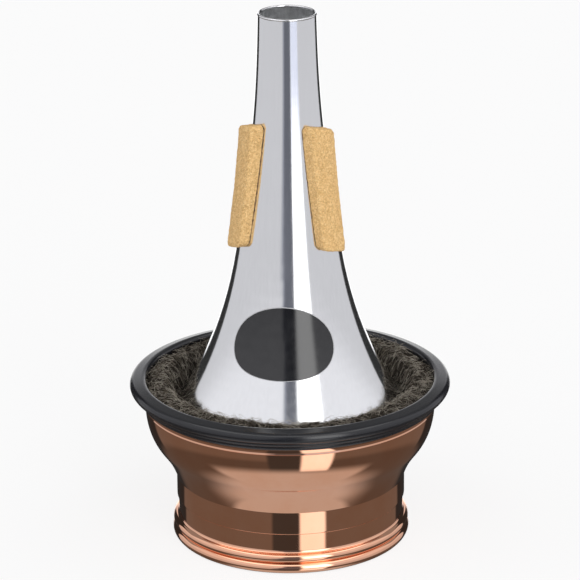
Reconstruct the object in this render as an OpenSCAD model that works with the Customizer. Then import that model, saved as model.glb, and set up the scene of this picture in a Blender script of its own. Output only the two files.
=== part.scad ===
// Trumpet cup mute, standing on its closed end with the mouth of the cone up.
// Millimetres, +Z up, origin at the centre of the base. The camera side is -Y.

/* [Cone] */
// Height of the mouth above the table
total_h = 180; // [170:1:190]
// Outer diameter of the sheet at the mouth
mouth_d = 19.1; // [18.4:0.1:20.4]
// Outer diameter where the straight taper turns into the flare
flare_d = 35; // [33.5:0.5:36.5]
// Height of that point above the table
flare_z = 100; // [95:1:105]
// Widening of the radius per millimetre at that point
flare_slope = 0.165; // [0.15:0.005:0.18]
// Widening of the radius per millimetre at the mouth
mouth_slope = 0.025; // [0.015:0.005:0.035]
// Thickness of the aluminium sheet
cone_wall = 0.5; // [0.4:0.05:0.7]
// Diameter of the small rolled bead round the mouth
lip_d = 0.84; // [0.8:0.02:1.1]
// Width of the lapped seam inside the cone
lap_w = 4.5; // [3:0.5:6]
// Height that the lap stands off the inner wall
lap_t = 0.3; // [0.2:0.05:0.4]
// Direction of the lap's edge, seen from above
lap_azimuth = 99; // [60:1:120]
// Depth of the cone's seat below the bowl's ridge
seat_drop = 8.5; // [7:0.5:9.5]
// Height of the hem that turns down against the bowl
hem_h = 2.4; // [1.5:0.1:3]

/* [Copper cup] */
// Outer diameter at the ridge below the rim band
bowl_d = 96.8; // [95:0.2:98.6]
// Height from the bowl's narrow end to the ridge
bowl_h = 16.6; // [15:0.1:17.5]
// Radius of the long hollow between the waist and the bowl
hollow_r = 20; // [17:0.5:23]
// Lean of the hollow's wall where it meets the bowl
hollow_high = 40; // [37:1:43]
// Lean of the hollow's wall at the waist
hollow_low = 16; // [12:1:20]
// Radius of the crease round the waist
waist_fillet = 2; // [0.8:0.1:3]
// Angle through which the drum's shoulder turns in
shoulder_turn = 24; // [20:1:30]
// Radius of the drum's shoulder
shoulder_r = 4; // [3:0.1:5]
// Outer diameter of the drum
drum_d = 76.6; // [74:0.2:80]
// Height of the drum's straight wall
drum_h = 5.3; // [4:0.1:7]
// Thickness of the copper sheet
cup_wall = 0.5; // [0.4:0.05:0.7]
// Step that makes the ridge
ridge_step = 0.15; // [0.1:0.05:0.4]
// Height of the band between the ridge and the flared lip
band_h = 2.3; // [2:0.1:3]
// Widening of the band's radius over its height
band_flare = 0.2; // [0.1:0.05:0.4]
// Outward run of the flared lip
lip_run = 2.3; // [2:0.05:2.8]
// Rise of the flared lip
lip_rise = 3.6; // [3.3:0.1:4]

/* [Base] */
// Height of the drum's lower edge above the table
band_top = 13.6; // [12:0.1:15]
// Thickness of the base's sheet
base_wall = 0.5; // [0.4:0.05:0.7]
// Radius of the upper bead's section
upper_bead_r = 1.65; // [1.5:0.05:1.8]
// Distance that the upper bead stands proud of the band
upper_bead_proud = 1.85; // [1.6:0.05:2.1]
// Radius of the lower bead's section
lower_bead_r = 1.9; // [1.7:0.05:2.1]
// Distance that the lower bead stands proud of the band
lower_bead_proud = 2.05; // [1.8:0.05:2.3]
// Depth by which the two beads press into each other
bead_sink = 0.15; // [0.1:0.05:0.3]
// Radius of the hollow between the band and the upper bead
bead_fillet = 1; // [0.8:0.1:1.2]
// Distance that the band's sleeve stops below the drum's shoulder
sleeve_stop = 1.5; // [1:0.1:3]
// Width of the seam ledge inside the beads
ledge_w = 2.1; // [1.5:0.1:3]
// Width of the flat ring that stands on the table
foot_w = 1.4; // [1:0.1:2.5]
// Height of the closing disc's underside above the table
disc_rise = 1.2; // [0.8:0.1:1.5]

/* [Rim trim] */
// Diameter of the rubber bulb
bulb_d = 3.8; // [3.4:0.1:4.2]
// Distance from the copper lip's end to the bulb's centre
bulb_out = 1.3; // [1.1:0.05:1.4]
// Diameter of the inner lobe, which stands against the felt
lobe_d = 3; // [2.6:0.1:3.4]
// Distance between the centres of the bulb and the lobe
lobe_pitch = 2.4; // [2.1:0.1:2.7]
// Distance that the skirt outside the lip stops short of the lip's foot
skirt_stop = 0.1; // [0.05:0.05:0.4]
// Thickness of the skirt between its two ribs
skirt_t = 0.7; // [0.5:0.05:0.8]
// Half of the angle that each rib's round face spans
rib_turn = 40; // [30:1:50]
// Distance that the leg inside the lip stops short of the lip's foot
leg_stop = 0.85; // [0.6:0.05:1.4]
// Thickness of the leg's shoulder
leg_t = 1.5; // [1.2:0.05:1.7]
// Thickness of the leg's edge
leg_edge = 0.8; // [0.5:0.05:1]

/* [Felt] */
// Height of the felt's crest below the top of the bulb
felt_drop = 2.3; // [1.5:0.1:3.5]
// Drop from the crest to the felt's edges
felt_crown = 1.5; // [0.8:0.1:2.2]
// Height of the felt's underside above the cone's seat
felt_floor = 1.2; // [1:0.1:3]

/* [Corks] */
// Height of the strips' upper end above the table
cork_top = 143.6; // [136:0.2:150]
// Length of a strip
cork_l = 40.8; // [36:0.2:46]
// Width of a strip
cork_w = 11; // [9:0.2:12.4]
// Thickness of a strip at its lower end
cork_t = 3.2; // [2:0.1:4]
// Extra thickness at its upper end, since the strips are ground to the bell's taper
cork_taper = 1; // [0:0.1:1.5]
// Radius of a strip's corners
cork_corner = 1.6; // [1:0.1:3]
// Chamfer along a strip's outer ends
cork_chamfer = 0.4; // [0.3:0.1:0.9]
// Direction of the first strip, seen from above
cork_azimuth = 200.7; // [180:0.1:220]

/* [Label] */
// Width of the oval label along the cone
label_w = 36.4; // [30:0.2:38]
// Height of the oval label
label_h = 22.8; // [18:0.2:24]
// Sag of the label's ends, since a flat label bends down round a cone
label_sag = 3.2; // [2:0.1:4]
// Thickness of the label
label_t = 0.25; // [0.2:0.05:0.4]
// Height of the label's centre above the table
label_z = 75; // [72:0.5:77]
// Direction of the label's centre, seen from above
label_azimuth = 264.4; // [250:0.1:290]

/* [Fits] */
// Clearance between sheets and trim that fit into each other
fit_gap = 0.05; // [0.03:0.01:0.1]
// Glue line under the corks and the label
glue_gap = 0.04; // [0.02:0.01:0.08]
// Clearance round the felt
soft_gap = 0.3; // [0.2:0.05:0.4]

/* [Hidden] */
$fn = 128;
curve_steps = 22;
arc_steps = 10;
bulb_steps = 28;
cork_count = 3;
outside = bowl_d;

// Points on a cubic Bezier curve.
function bezier(a, b, c, d, n) =
    [for (i = [0:n]) let (t = i / n, u = 1 - t)
        u * u * u * a + 3 * u * u * t * b + 3 * u * t * t * c + t * t * t * d];
// Points on an arc about a centre, from angle a0 to angle a1.
function arc(centre, r, a0, a1, n) =
    [for (i = [0:n]) let (a = a0 + (a1 - a0) * i / n) centre + r * [cos(a), sin(a)]];
function polar(r, a) = r * [cos(a), sin(a)];
// Points of a whole circle.
function ring(centre, r, n) = arc(centre, r, 0, 360 * (n - 1) / n, n - 1);
function reversed(v) = [for (i = [len(v) - 1:-1:0]) v[i]];
function tail(v) = [for (i = [1:len(v) - 1]) v[i]];
function unit(v) = v / norm(v);
// Outward normal of a path that runs from the top of the object down.
function outward(p, i) =
    let (t = unit(p[min(i + 1, len(p) - 1)] - p[max(i - 1, 0)])) [-t[1], t[0]];
function shifted(p, d) = [for (i = [0:len(p) - 1]) p[i] + d * outward(p, i)];
// Outline of a sheet whose outer face follows the path.
function sheet(p, wall) = concat(p, reversed(shifted(p, -wall)));
// Radius of a path at a height.
function radius_at(p, z) = lookup(z, [for (q = p) [q[1], q[0]]]);
function within(p, low, high) = [for (q = p) if (q[1] > low && q[1] < high) q];

// Copper cup: the drum, shoulder, waist, hollow, bowl, band and lip, from below.
drum_r = drum_d / 2;
shoulder_z = band_top + drum_h;
shoulder_c = [drum_r - shoulder_r, shoulder_z];
// Each round stretch starts where the one below it ends, in the same direction.
waist_c = shoulder_c + polar(shoulder_r + waist_fillet, shoulder_turn);
hollow_c = waist_c + polar(hollow_r - waist_fillet, -hollow_low);
bowl_foot = hollow_c - polar(hollow_r, -hollow_high);
bowl_top = [bowl_d / 2, bowl_foot[1] + bowl_h];
ridge_z = bowl_top[1];
// The bowl leaves the ridge almost upright and runs into the hollow.
bowl_lead = 0.64 * bowl_h * [-0.015, -1];
bowl_end = 0.13 * bowl_h * [sin(hollow_high), cos(hollow_high)];
bowl_curve = bezier(bowl_top, bowl_top + bowl_lead, bowl_foot + bowl_end, bowl_foot,
    curve_steps);
hollow_curve = arc(hollow_c, hollow_r, 180 - hollow_high, 180 - hollow_low, arc_steps);
waist_curve = arc(waist_c, waist_fillet, 180 - hollow_low, 180 + shoulder_turn, arc_steps / 2);
shoulder_curve = arc(shoulder_c, shoulder_r, shoulder_turn, 0, arc_steps);
lip_foot = bowl_top + [ridge_step + band_flare, band_h + ridge_step];
lip_end = lip_foot + [lip_run, lip_rise];
cup_line = concat(
    [lip_end, lip_foot, bowl_top + [ridge_step, ridge_step]],
    bowl_curve, tail(hollow_curve), tail(waist_curve), tail(shoulder_curve),
    [[drum_r, band_top]]);
cup_inner = shifted(cup_line, -cup_wall);
// The drum's lower edge is rounded outside.
edge_r = 0.8 * cup_wall;
drum_edge = arc([drum_r - edge_r, band_top + edge_r], edge_r, 0, -90, arc_steps / 2);

// Cone: straight taper, flare and the hem that seats on the narrowing bowl.
seat_z = ridge_z - seat_drop;
seat_line = shifted(cup_inner, -fit_gap);
foot = [radius_at(seat_line, seat_z), seat_z];
mouth = [mouth_d / 2, total_h - lip_d / 2];
flare = [flare_d / 2, flare_z];
foot_slope = 2;
// The reach of each curve's handles, as shares of the height that the curve spans.
taper_h = mouth[1] - flare[1];
flare_h = flare[1] - foot[1];
taper_curve = bezier(mouth, mouth + 0.31 * taper_h * [mouth_slope, -1],
    flare - 0.49 * taper_h * [flare_slope, -1], flare, curve_steps);
flare_curve = bezier(flare, flare + 0.63 * flare_h * [flare_slope, -1],
    foot - 0.036 * flare_h * [foot_slope, -1], foot, curve_steps);
hem_end = seat_z - hem_h;
hem = concat(within(seat_line, hem_end, seat_z - hem_h / 8),
    [[radius_at(seat_line, hem_end), hem_end]]);
cone_skin = concat(taper_curve, tail(flare_curve));
cone_line = concat(cone_skin, hem);

// Base: the band slides up into the drum, and the bottom plate is seamed under it.
band_r = drum_r - cup_wall - fit_gap;
sleeve_top = shoulder_z - sleeve_stop;
lower_c = [band_r + lower_bead_proud - lower_bead_r, lower_bead_r];
upper_c_r = band_r + upper_bead_proud - upper_bead_r;
bead_pitch = upper_bead_r + lower_bead_r - bead_sink;
upper_c = [upper_c_r,
    lower_bead_r + sqrt(pow(bead_pitch, 2) - pow(upper_c_r - lower_c[0], 2))];
// Where the two beads meet: the bottom of the groove between them.
bead_along = (pow(bead_pitch, 2) + pow(lower_bead_r, 2) - pow(upper_bead_r, 2))
    / (2 * bead_pitch);
bead_axis = unit(upper_c - lower_c);
groove = lower_c + bead_along * bead_axis
    + sqrt(pow(lower_bead_r, 2) - pow(bead_along, 2)) * [bead_axis[1], -bead_axis[0]];
fillet_c_r = band_r + bead_fillet;
fillet_c = [fillet_c_r, upper_c[1]
    + sqrt(pow(bead_fillet + upper_bead_r, 2) - pow(fillet_c_r - upper_c[0], 2))];
fillet_turn = atan2(fillet_c[1] - upper_c[1], fillet_c[0] - upper_c[0]);
function angle_from(centre, p) = atan2(p[1] - centre[1], p[0] - centre[0]);
band_line = concat(
    [[band_r, sleeve_top]],
    arc(fillet_c, bead_fillet, 180, 180 + fillet_turn, arc_steps),
    tail(arc(upper_c, upper_bead_r, fillet_turn, angle_from(upper_c, groove), arc_steps)),
    [groove - [ledge_w, 0]]);
foot_in = lower_c[0] - foot_w;
plate_line = concat(
    [groove - [ledge_w, 0]],
    arc(lower_c, lower_bead_r, angle_from(lower_c, groove), -90, arc_steps),
    bezier([foot_in, 0], [foot_in - disc_rise / 2, 0],
        [foot_in - disc_rise / 2, disc_rise], [foot_in - disc_rise, disc_rise], arc_steps),
    [[0, disc_rise]]);

// Rim trim, in the lip's own directions: x runs past the lip's end, y points outward.
lip_angle = atan2(lip_rise, lip_run);
lip_l = norm(lip_end - lip_foot);
skirt_l = lip_l - skirt_stop;
leg_l = lip_l - leg_stop;
bulb_c = [bulb_out, -cup_wall / 2];
bulb_r = bulb_d / 2;
// The skirt's two ribs run from the bulb to the skirt's end.
skirt_root = 180 - asin((skirt_t + cup_wall / 2) / bulb_r);
skirt_start = bulb_c[0] + bulb_r * cos(skirt_root);
rib_w = (skirt_l + skirt_start) / 2;
rib_r = rib_w / 2 / sin(rib_turn);
function rib(x) = arc([x, skirt_t - rib_r * cos(rib_turn)], rib_r, 90 + rib_turn,
    90 - rib_turn, arc_steps);
// The lobe lies inward of the bulb, and a flat joins their tops.
lobe_r = lobe_d / 2;
lobe_way = 259;
lobe_c = bulb_c + polar(lobe_pitch, lobe_way);
flat_turn = lobe_way - 360 + acos((bulb_r - lobe_r) / lobe_pitch);
lobe_end = -180 - asin((-cup_wall - leg_t - lobe_c[1]) / lobe_r);
bulb_top = lip_end[1] + bulb_out * sin(lip_angle) + cup_wall / 2 * cos(lip_angle) + bulb_r;
// The stretch of copper that the trim's slot takes, a clearance longer than the lip.
lip_line = [lip_end + fit_gap * unit(lip_end - lip_foot), lip_foot,
    bowl_top + [ridge_step, ridge_step]];

module on_lip() {
    translate(lip_end) rotate(lip_angle) mirror([0, 1]) children();
}

// The inside of the bowl, and the inside of the cone's skin, a clearance away from each.
bowl_lining = shifted(cup_inner, -soft_gap);
cone_coat = shifted(cone_skin, soft_gap);

module cone() {
    bite = cone_wall / 5;
    inner = shifted(cone_skin, -cone_wall + bite);
    lap_face = within(inner, seat_z + lap_w / 4, total_h - lip_d);
    color([0.78, 0.79, 0.81]) union() {
        rotate_extrude() polygon(sheet(cone_line, cone_wall));
        rotate_extrude() polygon(ring(mouth - [cone_wall / 2, 0], lip_d / 2, arc_steps + 2));
        intersection() {
            rotate_extrude() polygon(sheet(lap_face, lap_t + bite));
            rotate(lap_azimuth) cube([outside, lap_w, total_h]);
        }
    }
}

module copper_cup() {
    outer = concat([for (i = [0:len(cup_line) - 2]) cup_line[i]], drum_edge);
    color([0.72, 0.45, 0.33]) rotate_extrude() polygon(concat(outer, reversed(cup_inner)));
}

module base_band() {
    color([0.70, 0.43, 0.31]) rotate_extrude() polygon(sheet(band_line, base_wall));
}

module bottom_plate() {
    color([0.68, 0.41, 0.30]) rotate_extrude() polygon(sheet(plate_line, base_wall));
}

// One extrusion: the bulb and the lobe, the ribbed skirt outside the lip and the leg inside.
module rubber_rim() {
    color([0.12, 0.12, 0.14]) rotate_extrude() difference() {
        on_lip() polygon(concat(
            arc(bulb_c, bulb_r, skirt_root, flat_turn, bulb_steps),
            arc(lobe_c, lobe_r, flat_turn, lobe_end, bulb_steps),
            [[-leg_l / 2, -cup_wall - leg_t], [-leg_l, -cup_wall - leg_edge],
             [-leg_l, -cup_wall / 2], [-skirt_l, -cup_wall / 2]],
            rib(-skirt_l + rib_w / 2), tail(rib(-skirt_l + 3 * rib_w / 2))));
        polygon(concat(shifted(lip_line, fit_gap),
            reversed(shifted(lip_line, -cup_wall - fit_gap))));
    }
}

// The felt fills the ring between the cone's foot and the bowl, with a crowned top.
module felt_ring() {
    crest_z = bulb_top - felt_drop;
    edge_z = crest_z - felt_crown;
    floor_z = seat_z + felt_floor;
    inner_r = radius_at(cone_coat, edge_z);
    outer_r = bowl_top[0] - cup_wall - soft_gap;
    middle = (inner_r + outer_r) / 2;
    half = (outer_r - inner_r) / 2;
    crown = [for (i = [0:curve_steps]) let (u = -1 + 2 * i / curve_steps)
        [middle + u * half, crest_z - felt_crown * u * u]];
    color([0.27, 0.24, 0.21]) rotate_extrude() polygon(concat(
        crown,
        within(bowl_lining, floor_z, ridge_z), [[radius_at(bowl_lining, floor_z), floor_z]],
        [[radius_at(cone_coat, floor_z), floor_z]],
        reversed(within(cone_coat, floor_z, edge_z))));
}

// Outline of a rectangle with round corners, centred on the origin.
function round_box(w, h, r, n) = [for (k = [0:3]) each
    arc([(k == 0 || k == 3 ? 1 : -1) * (w / 2 - r), (k < 2 ? 1 : -1) * (h / 2 - r)],
        r, 90 * k, 90 * k + 90, n)];

// One strip of sheet cork, bent round the cone.
module cork_strip(k) {
    low = cork_top - cork_l;
    back = shifted(cone_skin, glue_gap);
    face = [for (i = [0:len(back) - 1])
        let (share = max(0, min(1, (back[i][1] - low) / cork_l)))
        back[i] + (cork_t + cork_taper * share) * outward(back, i)];
    body = concat(
        [[radius_at(back, cork_top), cork_top]], within(back, low, cork_top),
        [[radius_at(back, low), low], [radius_at(face, low) - cork_chamfer, low]],
        reversed(within(face, low + cork_chamfer, cork_top - cork_chamfer)),
        [[radius_at(face, cork_top) - cork_chamfer, cork_top]]);
    color([0.86, 0.68, 0.45]) intersection() {
        rotate_extrude() polygon(body);
        rotate([0, 0, cork_azimuth + k * 360 / cork_count])
            translate([0, 0, cork_top - cork_l / 2]) rotate([90, 0, 90])
                linear_extrude(outside)
                    polygon(round_box(cork_w, cork_l, cork_corner, arc_steps / 2));
    }
}

module cork_left() cork_strip(0);
module cork_right() cork_strip(1);
module cork_rear() cork_strip(2);

// A bare oval label, wrapped round the cone.
module oval_label() {
    back = within(shifted(cone_skin, glue_gap), label_z - label_h, label_z + label_h);
    wrap_r = radius_at(cone_skin, label_z);
    outline = [for (p = ring([0, 0], 1, 4 * arc_steps))
        [wrap_r * sin(label_w / 2 * p[0] / wrap_r * 180 / PI),
            label_h / 2 * p[1] - label_sag * p[0] * p[0]]];
    color([0.10, 0.10, 0.11]) intersection() {
        rotate_extrude() polygon(concat(back, reversed(shifted(back, label_t))));
        rotate([0, 0, label_azimuth]) translate([0, 0, label_z]) rotate([90, 0, 90])
            linear_extrude(outside) polygon(outline);
    }
}

cone();
copper_cup();
base_band();
bottom_plate();
rubber_rim();
felt_ring();
cork_left();
cork_right();
cork_rear();
oval_label();
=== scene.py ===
import math

import bmesh
import bpy
import numpy as np
from mathutils import Matrix, Vector, noise


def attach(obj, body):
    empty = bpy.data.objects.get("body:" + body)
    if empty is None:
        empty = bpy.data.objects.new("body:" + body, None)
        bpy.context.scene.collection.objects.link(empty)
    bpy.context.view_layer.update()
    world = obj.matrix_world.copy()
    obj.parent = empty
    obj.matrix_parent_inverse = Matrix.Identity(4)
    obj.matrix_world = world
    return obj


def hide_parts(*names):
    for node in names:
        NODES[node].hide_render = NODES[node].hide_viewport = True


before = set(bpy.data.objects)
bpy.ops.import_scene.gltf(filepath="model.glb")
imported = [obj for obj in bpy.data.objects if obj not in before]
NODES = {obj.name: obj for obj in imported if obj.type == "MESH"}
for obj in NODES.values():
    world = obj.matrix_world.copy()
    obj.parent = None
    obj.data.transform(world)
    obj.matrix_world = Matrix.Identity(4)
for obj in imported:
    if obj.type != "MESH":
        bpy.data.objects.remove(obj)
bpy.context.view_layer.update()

MM = 0.001


# Camera, fitted to the photograph: its place in mm, its tilt down and a slight roll in radians.

CAMERA_PLACE = (0.27, -1037.9, 453.5)
CAMERA_TILT = 0.341
CAMERA_ROLL = 0.0078
FOCAL_PIXELS = 3327.5
PHOTO_PIXELS = 580
SENSOR_MM = 36
CLIP_NEAR, CLIP_FAR = 0.05, 50


def make_camera():
    data = bpy.data.cameras.new("camera")
    data.sensor_width = SENSOR_MM
    data.lens = FOCAL_PIXELS / PHOTO_PIXELS * SENSOR_MM
    data.clip_start, data.clip_end = CLIP_NEAR, CLIP_FAR
    camera = bpy.data.objects.new("camera", data)
    camera.matrix_world = (Matrix.Translation(Vector(CAMERA_PLACE) * MM)
                           @ Matrix.Rotation(math.pi / 2 - CAMERA_TILT, 4, "X")
                           @ Matrix.Rotation(-CAMERA_ROLL, 4, "Z"))
    bpy.context.scene.collection.objects.link(camera)
    bpy.context.scene.camera = camera


class Tree:
    """Adds nodes to one node tree. An input is a number, a colour or another node's output."""

    def __init__(self, tree):
        self.tree = tree
        tree.nodes.clear()

    def add(self, kind, inputs=None, output=0, **settings):
        node = self.tree.nodes.new("ShaderNode" + kind)
        for name, value in settings.items():
            setattr(node, name, value)
        for key, value in (inputs or {}).items():
            if isinstance(value, bpy.types.NodeSocket):
                self.tree.links.new(value, node.inputs[key])
            else:
                node.inputs[key].default_value = value
        return node.outputs[output] if node.outputs else node

    def math(self, operation, *values):
        return self.add("Math", dict(enumerate(values)), operation=operation)

    def fade(self, value, low, high, start=0.0, end=1.0):
        """A smooth step from start, where value is low, to end, where it is high."""
        inputs = {"Value": value, "From Min": low, "From Max": high, "To Min": start, "To Max": end}
        return self.add("MapRange", inputs, interpolation_type="SMOOTHSTEP")

    def band(self, value, low, high, soft):
        """1 between low and high, 0 outside, with edges as wide as soft."""
        rise = self.fade(value, low - soft / 2, low + soft / 2)
        fall = self.fade(value, high - soft / 2, high + soft / 2, 1.0, 0.0)
        return self.math("MULTIPLY", rise, fall)

    def mix(self, share, a, b):
        """The colour a where share is 0 and b where it is 1."""
        return self.add("Mix", {0: share, 6: a, 7: b}, output=2, data_type="RGBA")


def tinted(level, tint):
    return tuple(level * part for part in tint) + (1,)


# Studio: a plain sky, and over it lights and flags, each laid over those before it. Each one is
# (azimuths, elevations, softness, level, tint) in degrees as the object sees it: azimuth 0 is the
# camera's side, 90 the right and 180 the rear. The rows below -19 stand for the floor, because the
# floor itself is left out of reflections.

PLAIN = (1, 1, 1)
WARM = (1, 0.86, 0.76)
COOL = (0.9, 0.94, 1.12)
HAZE = (0.985, 0.985, 1.03)
SKY_LEVEL = 0.63
STUDIO = (
    ((-200, 200), (12, 48), 20, 0.85, HAZE),
    ((-200, 200), (47, 100), 8, 0.5, PLAIN),
    ((-200, -115), (22, 100), 8, 0.3, PLAIN),
    ((115, 200), (22, 100), 8, 0.3, PLAIN),
    ((-115, 115), (49, 67), 5, 1.7, PLAIN),
    ((-17, 0), (-19, 2), 8, 0.3, COOL),
    ((-12, 11), (-19, 2), 3, 0.15, COOL),
    ((-12, 0), (1, 16), 6, 0.3, COOL),
    ((-9, 11), (1, 16), 3, 0.15, COOL),
    ((-8, 0), (15, 43), 4, 0.3, COOL),
    ((-5, 11), (15, 43), 3, 0.15, COOL),
    ((11, 38), (-19, -3), 4, 0.82, COOL),
    ((11, 38), (-4, 43), 8, 3.2, PLAIN),
    ((-158, -134), (-19, 30), 2, 0.03, PLAIN),
    ((134, 158), (-19, 30), 2, 0.03, PLAIN),
    ((161, 200), (-19, 9), 4, 1.5, PLAIN),
    ((-200, -161), (-19, 9), 4, 1.5, PLAIN),
    ((-200, 200), (-100, -19), 2, 0.105, WARM),
    ((-200, 200), (-32, -19), 6, 0.165, WARM),
    ((-19, 9), (-48, -19), 4, 0.055, PLAIN),
    ((9, 35), (-48, -19), 4, 1.4, PLAIN),
    ((-200, -138), (-33, -19), 6, 0.03, PLAIN),
    ((138, 200), (-33, -19), 6, 0.03, PLAIN),
    ((-80, 80), (-100, -48), 14, 0.54, PLAIN),
    ((-200, 200), (-100, -60), 22, 0.54, PLAIN),
)


def make_world():
    world = bpy.data.worlds.new("studio")
    bpy.context.scene.world = world
    world.use_nodes = True
    tree = Tree(world.node_tree)
    way = tree.add("SeparateXYZ", {0: tree.add("TexCoord", output=0)})
    x, y, z = way.node.outputs
    azimuth = tree.math("DEGREES", tree.math("ARCTAN2", x, tree.math("MULTIPLY", y, -1.0)))
    elevation = tree.math("DEGREES", tree.math("ARCSINE", z))
    light = tinted(SKY_LEVEL, HAZE)
    for azimuths, elevations, soft, level, tint in STUDIO:
        inside = tree.math("MULTIPLY", tree.band(azimuth, *azimuths, soft),
                           tree.band(elevation, *elevations, soft))
        light = tree.mix(inside, light, tinted(level, tint))
    background = tree.add("Background", {"Color": light, "Strength": 1.0})
    tree.add("OutputWorld", {"Surface": background})


# The floor's side in m, how far it lies below the object in mm, its grey, and the share of what the
# camera sees of it that is plain white, without the shadow.
FLOOR_SIZE = 12
FLOOR_DROP = 0.05
FLOOR_GREY = 0.97
FLOOR_SHARE = 0.82


def make_floor():
    mesh = bpy.data.meshes.new("floor")
    half = FLOOR_SIZE / 2
    corners = [(x * half, y * half, -FLOOR_DROP * MM)
               for x, y in ((-1, -1), (1, -1), (1, 1), (-1, 1))]
    mesh.from_pydata(corners, [], [(0, 1, 2, 3)])
    material = bpy.data.materials.new("floor")
    material.use_nodes = True
    tree = Tree(material.node_tree)
    # Seen directly the floor is near white and keeps a part of the shadow.
    rays = tree.add("LightPath").node.outputs
    seen = tree.math("MAXIMUM", rays["Is Camera Ray"],
                     tree.math("MAXIMUM", rays["Is Glossy Ray"], rays["Is Transmission Ray"]))
    matt = tree.add("BsdfDiffuse", {"Color": tinted(FLOOR_GREY, PLAIN)})
    white = tree.add("Emission", {"Color": tinted(1, PLAIN), "Strength": 1.0})
    share = tree.math("MULTIPLY", seen, FLOOR_SHARE)
    tree.add("OutputMaterial", {"Surface": tree.add("MixShader", {0: share, 1: matt, 2: white})})
    mesh.materials.append(material)
    floor = bpy.data.objects.new("floor", mesh)
    bpy.context.scene.collection.objects.link(floor)
    floor.visible_glossy = False


# Outlines in mm as (radius, height) points, taken from the CAD nodes. Points closer than WELD are
# one, and those within ON_PLANE of the plane are on it. A turn sharper than CORNER is a corner.
# Elsewhere an edge more than LONG_SHARE times as long as its neighbour sets the joint's direction.

WELD = 0.001
ON_PLANE = 0.002
CORNER = math.radians(35)
LONG_SHARE = 3
SHEET = 0.5


def section(name):
    """The outline where the half plane y = 0, x > 0 cuts a CAD node, in order. It is closed,
    except where a cap or a lap leaves no edge in that plane."""
    mesh = NODES[name].data
    points = np.empty(len(mesh.vertices) * 3)
    mesh.vertices.foreach_get("co", points)
    points = points.reshape(-1, 3) / MM
    edges = np.empty(len(mesh.edges) * 2, int)
    mesh.edges.foreach_get("vertices", edges)
    near = (np.abs(points[:, 1]) < ON_PLANE) & (points[:, 0] > -WELD)
    first, weld = {}, {}
    for i in np.nonzero(near)[0]:
        weld[i] = first.setdefault(tuple(np.round(points[i] / WELD).astype(int)), i)
    links = {}
    for a, b in edges.reshape(-1, 2):
        if near[a] and near[b] and weld[a] != weld[b]:
            links.setdefault(weld[a], []).append(weld[b])
            links.setdefault(weld[b], []).append(weld[a])
    ends = [i for i, others in links.items() if len(set(others)) == 1]
    way = [ends[0] if ends else min(links)]
    while True:
        onward = [k for k in links[way[-1]] if k not in way[-2:] and k != way[0]]
        if not onward:
            break
        way.append(onward[0])
    return points[way][:, [0, 2]]


def unit(v):
    return v / np.linalg.norm(v, axis=-1, keepdims=True)


def fine(path, step, closed=True):
    """The path with more points, on arcs that keep its direction except at sharp corners."""
    ring = np.vstack([path, path[:1]]) if closed else path
    chords = np.diff(ring, axis=0)
    lengths = np.linalg.norm(chords, axis=1)
    ways = chords / lengths[:, None]
    count = len(chords)
    starts, finishes = [None] * count, [None] * count
    for i in range(count if closed else count - 1):
        k = (i + 1) % count
        if ways[i] @ ways[k] < math.cos(CORNER):
            continue
        if lengths[i] > LONG_SHARE * lengths[k]:
            way = ways[i]
        elif lengths[k] > LONG_SHARE * lengths[i]:
            way = ways[k]
        else:
            way = unit(ways[i] * lengths[k] + ways[k] * lengths[i])
        finishes[i] = starts[k] = way
    points = []
    for i in range(count):
        a, b = starts[i], finishes[i]
        if a is None:
            a = ways[i] if b is None else 2 * (ways[i] @ b) * ways[i] - b
        if b is None:
            b = 2 * (ways[i] @ a) * ways[i] - a
        steps = max(1, math.ceil(lengths[i] / step))
        t = np.arange(steps)[:, None] / steps
        places = (2 * t ** 3 - 3 * t ** 2 + 1) * ring[i] + (3 * t ** 2 - 2 * t ** 3) * ring[i + 1]
        bends = (t ** 3 - 2 * t ** 2 + t) * a + (t ** 3 - t ** 2) * b
        points.append(places + lengths[i] * bends)
    if not closed:
        points.append(ring[-1:])
    return np.vstack(points)


def shifted(path, distance):
    """The path moved to its right."""
    way = unit(np.gradient(path, axis=0))
    return path + distance * np.stack([way[:, 1], -way[:, 0]], axis=1)


# Meshes

LATHE_STEPS = 288
SHARP = math.radians(32)
MERGE_M = 1e-7


def solid(name, points, faces, looks, sharp=SHARP, weld=True):
    """A piece of the object that rides with it, shaded smooth up to the angle sharp. Points are
    in mm. Where weld is set, points in one place are joined and the faces turned outwards."""
    mesh = bpy.data.meshes.new(name)
    mesh.from_pydata((np.asarray(points) * MM).tolist(), [], [tuple(face) for face in faces])
    if weld:
        shape = bmesh.new()
        shape.from_mesh(mesh)
        bmesh.ops.remove_doubles(shape, verts=shape.verts, dist=MERGE_M)
        bmesh.ops.recalc_face_normals(shape, faces=shape.faces)
        shape.to_mesh(mesh)
        shape.free()
    mesh.polygons.foreach_set("use_smooth", [True] * len(mesh.polygons))
    mesh.set_sharp_from_angle(angle=sharp)
    for look in looks:
        mesh.materials.append(look)
    piece = bpy.data.objects.new(name, mesh)
    bpy.context.scene.collection.objects.link(piece)
    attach(piece, "root")
    return piece


def grid_faces(rows, columns):
    """Quads between rows of points, each row joined to itself."""
    i, k = np.meshgrid(np.arange(rows - 1), np.arange(columns), indexing="ij")
    along = (k + 1) % columns
    quads = np.stack([i * columns + k, (i + 1) * columns + k, (i + 1) * columns + along,
                      i * columns + along], axis=-1)
    return quads.reshape(-1, 4)


def tube_faces(rows, columns):
    """The same quads as tuples, and a face over the first and the last row."""
    last = (rows - 1) * columns
    quads = [tuple(quad) for quad in grid_faces(rows, columns)]
    return quads + [tuple(range(columns)), tuple(range(last, last + columns))]


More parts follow.
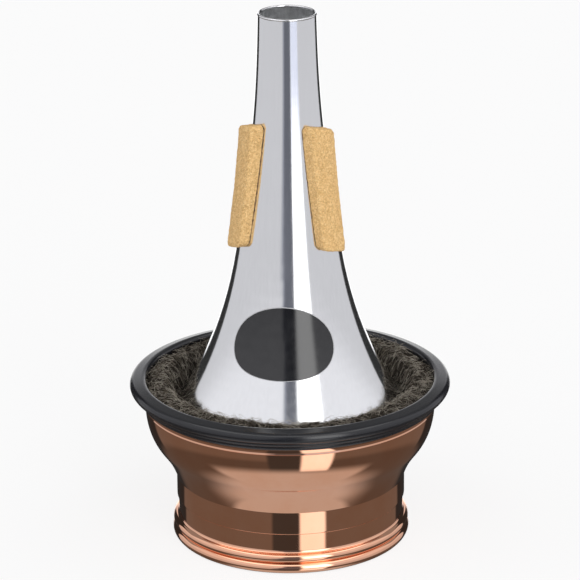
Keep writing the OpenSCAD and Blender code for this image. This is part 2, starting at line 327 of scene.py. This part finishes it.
def turned(outline):
    """Points and faces of a closed outline turned round the Z axis."""
    turn = np.linspace(0, 2 * math.pi, LATHE_STEPS, endpoint=False)
    loop = np.vstack([outline, outline[:1]])
    points = np.stack([loop[:, :1] * np.cos(turn), loop[:, :1] * np.sin(turn),
                       np.repeat(loop[:, 1:], LATHE_STEPS, axis=1)], axis=-1)
    return points.reshape(-1, 3), grid_faces(len(loop), LATHE_STEPS)


# Looks. Patterns are set out along the direction round the axis, the radius and the height in mm.

class Look(Tree):
    def __init__(self, name):
        self.material = bpy.data.materials.new(name)
        self.material.use_nodes = True
        super().__init__(self.material.node_tree)
        self.place = self.add("VectorMath", {0: self.add("TexCoord", output=3), "Scale": 1 / MM},
                              operation="SCALE")
        x, y, self.z = self.add("SeparateXYZ", {0: self.place}).node.outputs
        self.turn = self.math("ARCTAN2", x, self.math("MULTIPLY", y, -1.0))
        self.radius = self.math("SQRT", self.math("ADD", self.math("MULTIPLY", x, x),
                                                  self.math("MULTIPLY", y, y)))

    def stretched(self, turns, radii, heights):
        """Coordinates for a pattern with so many cells per radian and per mm."""
        parts = (self.turn, turns), (self.radius, radii), (self.z, heights)
        return self.add("CombineXYZ", {i: self.math("MULTIPLY", *part)
                                       for i, part in enumerate(parts)})

    def noise(self, where, scale=1.0, detail=3.0, roughness=0.55, output=0):
        inputs = {"Vector": where, "Scale": scale, "Detail": detail, "Roughness": roughness}
        return self.add("TexNoise", inputs, output)

    def bump(self, height, depth):
        """A bump whose height of 1 stands for a depth in mm."""
        return self.add("Bump", {"Height": height, "Strength": 1.0, "Distance": depth * MM})

    def finish(self, **inputs):
        named = {key.replace("_", " "): value for key, value in inputs.items()}
        shader = self.add("BsdfPrincipled", named)
        self.add("OutputMaterial", {"Surface": shader})
        return self.material


def aluminium_look():
    look = Look("aluminium_sheet")
    streaks = look.noise(look.stretched(40.0, 1.0, 0.03), detail=4.0)
    wear = look.noise(look.place, 0.12, 4.0, 0.6)
    level = look.math("ADD", look.math("MULTIPLY", streaks, 0.7), look.math("MULTIPLY", wear, 0.3))
    color = look.mix(look.fade(level, 0.3, 0.7),
                     (0.90, 0.905, 0.91, 1), (0.935, 0.94, 0.945, 1))
    rough = look.fade(level, 0.3, 0.7, 0.10, 0.15)
    return look.finish(Base_Color=color, Metallic=1.0, Roughness=rough, Anisotropic=0.6,
                       Tangent=look.add("Tangent", direction_type="RADIAL", axis="Z"),
                       Anisotropic_Rotation=0.25, Normal=look.bump(streaks, 0.0012))


def inside_look():
    """The cone's inner face: the same sheet, dull and hazy."""
    look = Look("aluminium_inside")
    haze = look.noise(look.stretched(2.5, 0.5, 0.25), detail=4.0, roughness=0.65)
    color = look.mix(look.fade(haze, 0.3, 0.7), (0.58, 0.585, 0.59, 1), (0.93, 0.935, 0.94, 1))
    return look.finish(Base_Color=color, Metallic=0.25, Roughness=0.45,
                       Normal=look.bump(haze, 0.01))


def copper_look():
    look = Look("copper_sheet")
    lines = look.noise(look.stretched(0.35, 6.0, 9.0), detail=3.0, roughness=0.65)
    smear = look.noise(look.place, 0.1, 3.0, 0.6)
    color = look.mix(look.fade(smear, 0.35, 0.7), (0.955, 0.53, 0.355, 1), (0.93, 0.49, 0.315, 1))
    rough = look.fade(smear, 0.3, 0.75, 0.025, 0.06)
    return look.finish(Base_Color=color, Metallic=1.0, Roughness=rough,
                       Normal=look.bump(lines, 0.0009))


def rubber_look():
    look = Look("black_rubber")
    grain = look.noise(look.place, 2.2, 4.0, 0.7)
    dust = look.fade(look.noise(look.place, 0.6, 5.0, 0.75), 0.58, 0.85)
    color = look.mix(dust, (0.012, 0.0125, 0.0155, 1), (0.035, 0.035, 0.04, 1))
    rough = look.fade(grain, 0.3, 0.7, 0.15, 0.23)
    return look.finish(Base_Color=color, Roughness=rough, Specular_IOR_Level=0.55,
                       Normal=look.bump(grain, 0.005))


def felt_look(name, dark, light, scale):
    look = Look(name)
    tone = look.noise(look.place, scale, 4.0, 0.7)
    color = look.mix(look.fade(tone, 0.32, 0.68), (*dark, 1), (*light, 1))
    return look.finish(Base_Color=color, Roughness=0.95, Specular_IOR_Level=0.1,
                       Normal=look.bump(look.noise(look.place, 3.0, 5.0, 0.8), 0.3))


def cork_look():
    look = Look("sheet_cork")
    wander = look.add("VectorMath", {0: look.place, 1: look.noise(look.place, 2.0, 3.0, output=1)},
                      operation="ADD")
    grains = look.add("TexVoronoi", {"Vector": wander, "Scale": 2.2}, 1)
    tone = look.add("SeparateColor", {0: grains})
    speck = look.noise(look.place, 3.4, 4.0, 0.8)
    base = look.mix(look.fade(tone, 0.0, 1.0), (0.72, 0.42, 0.155, 1), (0.95, 0.63, 0.28, 1))
    flecked = look.mix(look.fade(speck, 0.55, 0.64), base, (1.0, 0.82, 0.47, 1))
    pits = look.fade(speck, 0.38, 0.44, 1.0, 0.0)
    color = look.mix(look.math("MULTIPLY", pits, 0.7), flecked, (0.25, 0.12, 0.04, 1))
    height = look.math("SUBTRACT", speck, look.math("MULTIPLY", pits, 0.35))
    return look.finish(Base_Color=color, Roughness=0.85, Specular_IOR_Level=0.25,
                       Normal=look.bump(height, 0.12))


def gap_shade_look():
    # A dark broken line painted along the cork's edge at the cone, as the shadow in the gap between
    # cork and cone.
    look = Look("cork_gap_shadow")
    gap = look.fade(look.noise(look.place, 1.6, 3.0, 0.7), 0.42, 0.55)
    color = look.mix(gap, (0.02, 0.014, 0.008, 1), (0.30, 0.16, 0.07, 1))
    return look.finish(Base_Color=color, Roughness=0.8)


def label_look():
    look = Look("label_face")
    mottle = look.noise(look.place, 0.35, 4.0, 0.6)
    color = look.mix(look.fade(mottle, 0.3, 0.7),
                     (0.004, 0.004, 0.005, 1), (0.010, 0.010, 0.011, 1))
    rough = look.fade(mottle, 0.3, 0.7, 0.12, 0.18)
    return look.finish(Base_Color=color, Roughness=rough, Coat_Weight=0.6, Coat_Roughness=0.07,
                       Normal=look.bump(look.noise(look.place, 1.2, 2.0), 0.004))


def edge_highlight_look():
    look = Look("label_edge_highlight")
    # A light grey painted on the label's edge as its thin highlight.
    fibre = look.noise(look.place, 3.0, 3.0, 0.7)
    color = look.mix(fibre, (0.42, 0.42, 0.43, 1), (0.60, 0.60, 0.61, 1))
    return look.finish(Base_Color=color, Roughness=0.5)


make_camera()
make_world()
make_floor()
aluminium, inside = aluminium_look(), inside_look()
copper, rubber = copper_look(), rubber_look()
cork, gap_shade = cork_look(), gap_shade_look()
felt = felt_look("felt", (0.014, 0.011, 0.009), (0.050, 0.042, 0.033), 0.6)
dark_fibre = felt_look("dark_fibre", (0.016, 0.013, 0.010), (0.090, 0.075, 0.058), 0.4)
# Pale fibres: lighter fibres in the felt, and a painted highlight on the loose fibres that stand
# off the mat.
pale_and_lit_fibre = felt_look("pale_and_lit_fibre", (0.18, 0.155, 0.12), (0.55, 0.50, 0.42), 0.3)
label_face, label_rim_highlight = label_look(), edge_highlight_look()


# Sheet pieces and the rubber trim, turned from the CAD outlines.

RIDGE_Z = 45.8
FINE_STEP = 0.35
RIM_STEP = 0.25
LONG_STEP = 1.2


def turned_piece(name, node, outline, look):
    points, faces = turned(outline)
    piece = solid(name, points, faces, [look])
    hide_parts(node)


# The long hollow between the bowl and the drum: its lean at the upper and the lower end, the
# height of the lower end, how far its tangents pull, and the small fillet that meets the drum.
HOLLOW_LEANS = math.radians(38), math.radians(20)
HOLLOW_FOOT_Z = 21.5
HOLLOW_PULL = 0.4
HOLLOW_STEPS = 60
FILLET_R = 0.8
FILLET_STEPS = 8
# The hollow starts this far or more below the ridge.
BELOW_RIDGE = 4
# How many points of the CAD outline are kept at the drum's lower edge, how many points above the
# lowest one the wall is straight, and the least gap between the kept points and the fillet.
EDGE_POINTS = 14
WALL_POINT = 12
EDGE_GAP = 0.3
# Points at the lip and at the lower edge that the inner wall leaves out.
LIP_ROUND = 4
EDGE_ROUND = 6


def leaning(angle):
    """The direction up a wall that leans outwards by an angle."""
    return np.array([math.sin(angle), math.cos(angle)])


def lip_to_edge(outline):
    """The closed outline, starting at its top and going down its outer side first."""
    outline = np.roll(outline, -np.argmax(outline[:, 1]), axis=0)
    if outline[5, 0] < outline[-5, 0]:
        outline = np.roll(outline[::-1], 1, axis=0)
    return outline


def cup_outline():
    """The cup's outline, with a long hollow that meets the drum's wall in a small fillet."""
    outline = lip_to_edge(fine(section("copper_cup"), FINE_STEP))
    foot = np.argmin(outline[:, 1])
    way = np.diff(outline, axis=0)
    lean = np.arctan2(-way[:, 0], -way[:, 1])
    upper, lower = HOLLOW_LEANS
    start = next(i for i in range(foot)
                 if outline[i, 1] < RIDGE_Z - BELOW_RIDGE and lean[i] > upper)
    upper = (lean[start - 1] + lean[start]) / 2
    drum = outline[foot - WALL_POINT, 0]
    a = outline[start]
    d = np.array([drum + FILLET_R * (1 - math.cos(lower)), HOLLOW_FOOT_Z])
    pull = HOLLOW_PULL * np.linalg.norm(a - d)
    b, c = a - pull * leaning(upper), d + pull * leaning(lower)
    t = np.linspace(0, 1, HOLLOW_STEPS)[:, None]
    hollow = (1 - t) ** 3 * a + 3 * (1 - t) ** 2 * t * b + 3 * (1 - t) * t * t * c + t ** 3 * d
    turn = np.linspace(lower, 0, FILLET_STEPS)[1:]
    centre = d + FILLET_R * np.array([math.cos(lower), -math.sin(lower)])
    fillet = centre - FILLET_R * np.stack([np.cos(turn), -np.sin(turn)], axis=1)
    edge = outline[:foot + 1]
    edge = edge[edge[:, 1] < fillet[-1, 1] - EDGE_GAP][-EDGE_POINTS:]
    outer = np.vstack([outline[:start], hollow, fillet, edge])
    return np.vstack([outer, shifted(outer[LIP_ROUND:-EDGE_ROUND], SHEET)[::-1]])


def upward(path):
    """The open path, starting at its lower end."""
    return path[::-1] if path[0][1] > path[-1][1] else path


def plate_outline():
    """The bottom plate's outline, closed along the axis and cut off at the floor."""
    line = upward(section("bottom_plate"))
    line = np.vstack([fine(line, FINE_STEP, closed=False), [0, line[-1][1]], [0, line[0][1]]])
    line[:, 1] = np.maximum(line[:, 1], 0)
    return line


band_outline = fine(section("base_band"), FINE_STEP)
rim_outline = fine(section("rubber_rim"), RIM_STEP)
turned_piece("copper_cup_shell", "copper_cup", cup_outline(), copper)
turned_piece("base_band_shell", "base_band", band_outline, copper)
turned_piece("rim_trim", "rubber_rim", rim_outline, rubber)
turned_piece("bottom_plate_shell", "bottom_plate", plate_outline(), copper)


# Cone, with a lap inside that is as wide at both ends.

WALL_GAP = 0.3
LAP_WIDTH = 4.5
LAP_THICK = 0.3
LAP_SUNK = 0.1
LAP_AZIMUTH = math.radians(95)
LAP_STEPS = 8


def cone_lines():
    """The cone's CAD outline, its outer skin and its inner wall. The wall has no edge in the
    outline's plane under the lap, so the skin gives it."""
    line = upward(section("cone"))
    low, high = line[0][1], line[-1][1]
    line = fine(line, LONG_STEP, closed=False)
    skin = line[np.argmax(line[:, 0]):np.argmax(line[:, 1])]
    wall = shifted(skin, -SHEET)
    return line, skin, wall[(wall[:, 1] > low + WALL_GAP) & (wall[:, 1] < high - WALL_GAP)]


def lap_strip(wall):
    """Points and faces of the lap, a strip of one width that is sunk a little into the wall."""
    across = np.linspace(0, LAP_WIDTH, LAP_STEPS + 1)
    sides = []
    for depth in (LAP_THICK, -LAP_SUNK):
        face = shifted(wall, -depth)
        radius, height = face[:, :1], np.repeat(face[:, 1:], LAP_STEPS + 1, axis=1)
        azimuth = LAP_AZIMUTH + np.arcsin(across / radius)
        row = np.stack([radius * np.cos(azimuth), radius * np.sin(azimuth), height], axis=-1)
        sides.append(row if depth > 0 else row[:, ::-1])
    points = np.concatenate(sides, axis=1)
    return points.reshape(-1, 3), tube_faces(*points.shape[:2])


def cone_shell(line, wall):
    points, faces = turned(np.vstack([line, wall[::-1]]))
    lap_points, lap_faces = lap_strip(wall)
    first_lap = len(faces)
    faces = [tuple(f) for f in faces]
    faces += [tuple(k + len(points) for k in face) for face in lap_faces]
    shell = solid("cone_shell", np.vstack([points, lap_points]), faces,
                  [aluminium, inside])
    # The inner wall and the lap are hazy, apart from the lap's bright edge.
    index = np.arange(len(faces))
    lap_index = index - first_lap
    round_lap = 2 * LAP_STEPS + 2
    lap_edge = (lap_index >= 0) & (lap_index % round_lap == round_lap - 1)
    hazy = (index >= len(line) * LATHE_STEPS) & ~lap_edge
    shell.data.polygons.foreach_set("material_index", hazy.astype(int))
    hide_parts("cone")


cone_line, cone_skin, cone_wall = cone_lines()
cone_shell(cone_line, cone_wall)


# What is glued to the cone. Sizes in mm.

GLUE = 0.04
# The innermost row of points on a closed face, as a share of its outline.
CENTRE = 0.02

skin_heights, skin_radii = cone_skin[np.argsort(cone_skin[:, 1])].T[::-1]


def skin_radius(height):
    return np.interp(height, skin_heights, skin_radii)


def wrapped(across, height, lift, azimuth):
    """Points at a lift above the GLUE layer, and so far across from the cone's line at an azimuth.
    """
    radius = skin_radius(height) + GLUE + lift
    forward = np.sqrt(radius ** 2 - across ** 2)
    c, s = math.cos(azimuth), math.sin(azimuth)
    return np.stack([forward * c - across * s, forward * s + across * c, height], axis=1)


def dress_rows(piece, columns, first, last):
    """Gives a piece's faces between two rows of points its other material."""
    index = np.zeros(len(piece.data.polygons), int)
    index[first * columns:last * columns] = 1
    piece.data.polygons.foreach_set("material_index", index)


# Corks: sheet cork bent round the cone, with worn edges.

CORK_TOP = 143.6
CORK_LENGTH = 40.8
CORK_WIDTH = 11
CORK_THICK = 3.2
CORK_TAPER = 1.0
CORK_AZIMUTH = 200.7
CORK_SPACING = 120
CORK_NODES = ("cork_left", "cork_right", "cork_rear")
# How far each strip's end is cut off square, per mm of its width.
CORK_SKEWS = (0.24, -0.24, 0)
CORK_SEEDS = (3, 8, 13)
CORNER_R = 2.0
CORNER_STEPS = 9
EDGE_R = 0.6
EDGE_STEPS = 6
OUTLINE_STEP = 0.35
CORK_BACK_ROWS = 6
CORK_FACE_ROWS = 22
CORK_SIDE_DEPTHS = (0.07, 0.2, 0.34, 0.48, 0.62, 0.76)
# Two sizes of crumble: depth in mm, waves per mm and what is added to the strip's seed.
CRUMBLES = ((0.16, 0.9, 0), (0.1, 2.6, 7))
NOISE_SEED = 5

# Without a seed the noise vectors change with the clock.
noise.seed_set(NOISE_SEED)


def round_box(width, length, corner, step):
    """Points round a rectangle with round corners, centred on the origin."""
    points = []
    for k, (sx, sy) in enumerate(((1, 1), (-1, 1), (-1, -1), (1, -1))):
        turn = np.radians(np.linspace(90 * k, 90 * k + 90, CORNER_STEPS))
        centre = np.array([sx * (width / 2 - corner), sy * (length / 2 - corner)])
        points.append(centre + corner * np.stack([np.cos(turn), np.sin(turn)], axis=1))
    ring = np.vstack(points + [points[0][:1]])
    lengths = np.linalg.norm(np.diff(ring, axis=0), axis=1)
    along = np.concatenate([[0], np.cumsum(lengths)])
    places = np.linspace(0, along[-1], int(along[-1] / step), endpoint=False)
    return np.stack([np.interp(places, along, ring[:, i]) for i in (0, 1)], axis=1)


def crumble(points, depth, scale, seed):
    """Each point moved a little along a smooth random field."""
    shift = Vector((seed, seed, seed))
    moves = [noise.noise_vector(Vector(p) * scale + shift) for p in points.tolist()]
    return points + depth * np.array([tuple(m) for m in moves])


def cork_strip(node, azimuth, skew, seed):
    ring = round_box(CORK_WIDTH, CORK_LENGTH, CORNER_R, OUTLINE_STEP)
    half = np.array([CORK_WIDTH, CORK_LENGTH]) / 2
    # Each layer is (share of the outline, share of the thickness), from the glued side outwards.
    layers = [(s, 0) for s in np.linspace(CENTRE, 1, CORK_BACK_ROWS)]
    layers += [(1, d) for d in CORK_SIDE_DEPTHS]
    rounding = len(layers)
    bend = np.radians(np.linspace(0, 90, EDGE_STEPS))
    layers += [(1 - EDGE_R * (1 - math.cos(a)), 1 + EDGE_R * (math.sin(a) - 1) / CORK_THICK)
               for a in bend]
    face = len(layers)
    layers += [(s, 1) for s in np.linspace(1, CENTRE, CORK_FACE_ROWS)[1:]]
    rows = []
    for k, (share, depth) in enumerate(layers):
        if rounding <= k < face:
            flat = ring * (1 - (1 - share) / half)
        elif k >= face:
            flat = ring * (1 - EDGE_R / half) * share
        else:
            flat = ring * share
        across, along = flat.T
        height = CORK_TOP - CORK_LENGTH / 2 + along + skew * across * np.abs(along) / half[1]
        thick = CORK_THICK + CORK_TAPER * np.clip(0.5 + along / CORK_LENGTH, 0, 1)
        rows.append(wrapped(across, height, depth * thick, azimuth))
    worn = np.vstack(rows[CORK_BACK_ROWS:])
    for depth, scale, step in CRUMBLES:
        worn = crumble(worn, depth, scale, seed + step)
    points = np.vstack(rows[:CORK_BACK_ROWS] + [worn])
    strip = solid(node + "_strip", points, tube_faces(len(layers), len(ring)),
                  [cork, gap_shade], sharp=math.radians(60))
    # The row along the strip's edge at the cone gets the painted gap shadow.
    dress_rows(strip, len(ring), CORK_BACK_ROWS - 1, CORK_BACK_ROWS)
    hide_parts(node)


for k, (node, skew, seed) in enumerate(zip(CORK_NODES, CORK_SKEWS, CORK_SEEDS)):
    cork_strip(node, math.radians(CORK_AZIMUTH + CORK_SPACING * k), skew, seed)


# Label: a thin oval wrapped round the cone.

LABEL_WIDTH = 36.4
LABEL_HEIGHT = 22.8
LABEL_SAG = 3.2
LABEL_THICK = 0.25
LABEL_HEIGHT_ABOVE = 75
LABEL_AZIMUTH = math.radians(264.4)
LABEL_SPOKES = 160
# Shares of the outline and of the thickness: the back, the edge, painted light grey as a thin
# highlight, and rows of the face.
LABEL_BACK = (CENTRE, 0.5, 1)
LABEL_EDGE = ((1, 0.75), (0.997, 0.95), (0.985, 1))
LABEL_FACE_ROWS = 24


def oval_label():
    turn = np.linspace(0, 2 * math.pi, LABEL_SPOKES, endpoint=False)
    wrap = skin_radius(LABEL_HEIGHT_ABOVE)
    layers = [(s, 0) for s in LABEL_BACK] + list(LABEL_EDGE)
    last_rim_row = len(layers) - 1
    layers += [(s, 1) for s in np.linspace(LABEL_EDGE[-1][0], CENTRE, LABEL_FACE_ROWS)[1:]]
    rows = []
    for share, depth in layers:
        u, v = share * np.cos(turn), share * np.sin(turn)
        across = wrap * np.sin(LABEL_WIDTH / 2 * u / wrap)
        height = LABEL_HEIGHT_ABOVE + LABEL_HEIGHT / 2 * v - LABEL_SAG * u ** 2
        rows.append(wrapped(across, height, depth * LABEL_THICK, LABEL_AZIMUTH))
    piece = solid("oval_label_sheet", np.vstack(rows), tube_faces(len(rows), LABEL_SPOKES),
                  [label_face, label_rim_highlight], sharp=math.radians(50))
    # The rows from the back round the edge get the light grey of the painted edge highlight.
    dress_rows(piece, LABEL_SPOKES, 0, last_rim_row)
    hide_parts("oval_label")


oval_label()


# Felt: a packed ring with a crowned, matted top and loose curly fibres. Sizes in mm.

FELT_STEPS = 360
FELT_ROWS = 30
FELT_WALL_ROWS = 8
FELT_GAP = 0.1
# Height of the top at the cup, how far it is crowned, and its heights at the cone's front and rear.
FELT_EDGE = 52.8
FELT_CREST = 1.0
FELT_FOOT = (50.6, 43.8)
# Where the top starts to rise and over what share, and where its crown is and how wide.
FELT_RISE = (0.1, 0.5)
FELT_CROWN = (0.68, 0.42)
# The mat's own grain: depth in mm and waves per mm.
FELT_GRAIN = (0.9, 0.9)
LUMP_TURNS = (5, 9, 14, 23, 31, 47, 61, 83)
LUMP_SIZE = 0.5
LUMP_SLANT = 9

FIBRES = 6000
FIBRE_STEPS = 8
FIBRE_CROWDING = 0.85
FIBRE_REACH = 48.3
FIBRE_CURL = 0.45
FIBRE_WAVES = (0.5, 1.4)
FIBRE_PACES = (0.8, 2.2)
FIBRE_RADII = (0.035, 0.06)
LOOSE_SHARE = 0.12
LOOSE_RADIUS = 0.042
LOOSE_LENGTHS, LYING_LENGTHS = (5, 12), (2.5, 6)
LOOSE_LIFTS, LYING_LIFTS = (0.6, 2.4), (0.1, 0.8)
PALE_SHARE = 0.35
CIRCLE = 6.28
FELT_SEED = 11

ring_line = section("felt_ring")
inner_top = ring_line[np.argmin(ring_line[:, 0])]
outer_top = ring_line[np.argmax(ring_line[:, 0])]
felt_bottom = ring_line[:, 1].min()
bowl_line = ring_line[ring_line[:, 0] > (inner_top[0] + outer_top[0]) / 2]
bowl_line = bowl_line[np.argsort(bowl_line[:, 1])]

rng = np.random.default_rng(FELT_SEED)
FELT_LUMPS = [(t, rng.uniform(-LUMP_SLANT, LUMP_SLANT), LUMP_SIZE / math.sqrt(t),
               rng.uniform(0, CIRCLE)) for t in LUMP_TURNS]


def felt_top(share, azimuth):
    """Height of the felt's top. Share runs from the cone to the cup, azimuth in radians."""
    front = 0.5 - 0.5 * np.sin(azimuth)
    foot = FELT_FOOT[1] + (FELT_FOOT[0] - FELT_FOOT[1]) * front ** 2
    rise = np.clip((share - FELT_RISE[0]) / FELT_RISE[1], 0, 1)
    rise = rise * rise * (3 - 2 * rise)
    crown = FELT_CREST * np.clip(1 - ((share - FELT_CROWN[0]) / FELT_CROWN[1]) ** 2, 0, 1)
    lumps = np.zeros_like(share * azimuth)
    for turns, slant, size, phase in FELT_LUMPS:
        lumps = lumps + size * np.sin(turns * azimuth + slant * share + phase)
    return foot + (FELT_EDGE - foot) * rise + crown + lumps


def felt_inner(height):
    return skin_radius(height) + FELT_GAP


def felt_outer(height):
    return np.minimum(np.interp(height, bowl_line[:, 1], bowl_line[:, 0]), outer_top[0])


def felt_reach(height):
    """The radii between which the felt lies at a height."""
    return felt_inner(height), felt_outer(np.minimum(height, outer_top[1]))


def felt_place(share, azimuth):
    """A point on the felt's top."""
    height = felt_top(share, azimuth)
    low, high = felt_reach(height)
    radius = low + (high - low) * share
    return np.stack([radius * np.cos(azimuth), radius * np.sin(azimuth), height], axis=-1)


def felt_body():
    azimuth = np.linspace(0, 2 * math.pi, FELT_STEPS, endpoint=False)
    top = np.array([felt_place(np.full(FELT_STEPS, s), azimuth)
                    for s in np.linspace(0, 1, FELT_ROWS)])
    depth, scale = FELT_GRAIN
    grain = [noise.noise(Vector(p) * scale) for p in top.reshape(-1, 3).tolist()]
    top[..., 2] += depth * np.array(grain).reshape(top.shape[:2])
    rows = list(top)
    # Down the bowl, across to the cone's foot and up the cone.
    walls = ((top[-1], felt_outer, np.linspace(0, 1, FELT_WALL_ROWS)[1:]),
             (top[0], felt_inner, np.linspace(1, 0, FELT_WALL_ROWS)[:-1]))
    for edge, radius_at, shares in walls:
        for share in shares:
            height = edge[:, 2] + (felt_bottom - edge[:, 2]) * share
            radius = radius_at(height)
            rows.append(np.stack([radius * np.cos(azimuth), radius * np.sin(azimuth), height],
                                 axis=1))
    faces = grid_faces(len(rows) + 1, FELT_STEPS) % (len(rows) * FELT_STEPS)
    return np.vstack(rows), faces


def drawn(low_high):
    """One random number between two for each fibre."""
    return rng.uniform(*low_high, FIBRES)


def fibre_paths():
    """Curly paths that lie on the felt, as an array of fibres by steps by 3."""
    share = drawn((0, 1)) ** FIBRE_CROWDING
    azimuth = drawn((0, 2 * math.pi))
    loose = drawn((0, 1)) < LOOSE_SHARE
    length = np.where(loose, drawn(LOOSE_LENGTHS), drawn(LYING_LENGTHS))
    heading = drawn((0, 2 * math.pi))
    curl = rng.normal(0, FIBRE_CURL, FIBRES)
    wave, pace = drawn(FIBRE_WAVES), drawn(FIBRE_PACES)
    phase = drawn((0, CIRCLE))
    lift = np.where(loose, drawn(LOOSE_LIFTS), drawn(LYING_LIFTS))
    x, y, _ = felt_place(share, azimuth).T
    low, high = felt_reach(felt_top(share, azimuth))
    step = length / FIBRE_STEPS
    path = np.empty((FIBRES, FIBRE_STEPS + 1, 3))
    for k in range(FIBRE_STEPS + 1):
        t = k / FIBRE_STEPS
        radius, around = np.hypot(x, y), np.arctan2(y, x)
        here = np.clip((radius - low) / (high - low), 0.01, 1.0)
        rise = lift * np.sin(math.pi * t) ** 0.7 + 0.25 * np.sin(pace * 4 * t + phase)
        height = felt_top(here, around) + rise
        radius = np.clip(radius, felt_inner(height) + 0.05, FIBRE_REACH)
        path[:, k] = np.stack([radius * np.cos(around), radius * np.sin(around), height], axis=1)
        x, y = path[:, k, 0], path[:, k, 1]
        heading = heading + step * (curl + wave * np.sin(pace * length * t + phase))
        x, y = x + step * np.cos(heading), y + step * np.sin(heading)
    return path, loose


TUBE_SIDES = 3
TUBE_TIP = 0.4


def tubes(path, radius):
    """Thin three-sided tubes along the paths, closed at both ends."""
    way = unit(np.gradient(path, axis=1))
    side = unit(np.cross(way, np.array([0.03, 0.02, 1])))
    up = np.cross(side, way)
    taper = np.ones(path.shape[1])
    taper[[0, -1]] = TUBE_TIP
    rings = [path + (radius * taper)[:, :, None] * (math.cos(a) * side + math.sin(a) * up)
             for a in np.radians((90, 210, 330))]
    fibres, steps = path.shape[:2]
    count = steps * TUBE_SIDES
    first = np.arange(fibres)[:, None, None] * count
    quads = (first + grid_faces(steps, TUBE_SIDES)).reshape(-1, 4)
    ends = (first + np.array([[2, 1, 0], [count - 3, count - 2, count - 1]])).reshape(-1, 3)
    return np.stack(rings, axis=2).reshape(-1, 3), quads, ends


def felt_ring():
    points, faces = felt_body()
    path, loose = fibre_paths()
    radius = np.where(loose, LOOSE_RADIUS, drawn(FIBRE_RADII))[:, None]
    fibre_points, quads, ends = tubes(path, radius)
    all_faces = faces.tolist() + (quads + len(points)).tolist() + (ends + len(points)).tolist()
    piece = solid("felt_packing", np.vstack([points, fibre_points]), all_faces,
                  [felt, dark_fibre, pale_and_lit_fibre], weld=False)
    # Loose fibres, raised off the mat, are all pale as a painted highlight. Of the rest a share is
    # pale at random, as lighter fibres.
    kind = np.where(loose | (drawn((0, 1)) < PALE_SHARE), 2, 1)
    index = np.concatenate([np.zeros(len(faces), int), np.repeat(kind, len(quads) // FIBRES),
                            np.repeat(kind, len(ends) // FIBRES)])
    piece.data.polygons.foreach_set("material_index", index)
    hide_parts("felt_ring")


felt_ring()

bpy.context.scene.view_settings.view_transform = "Standard"
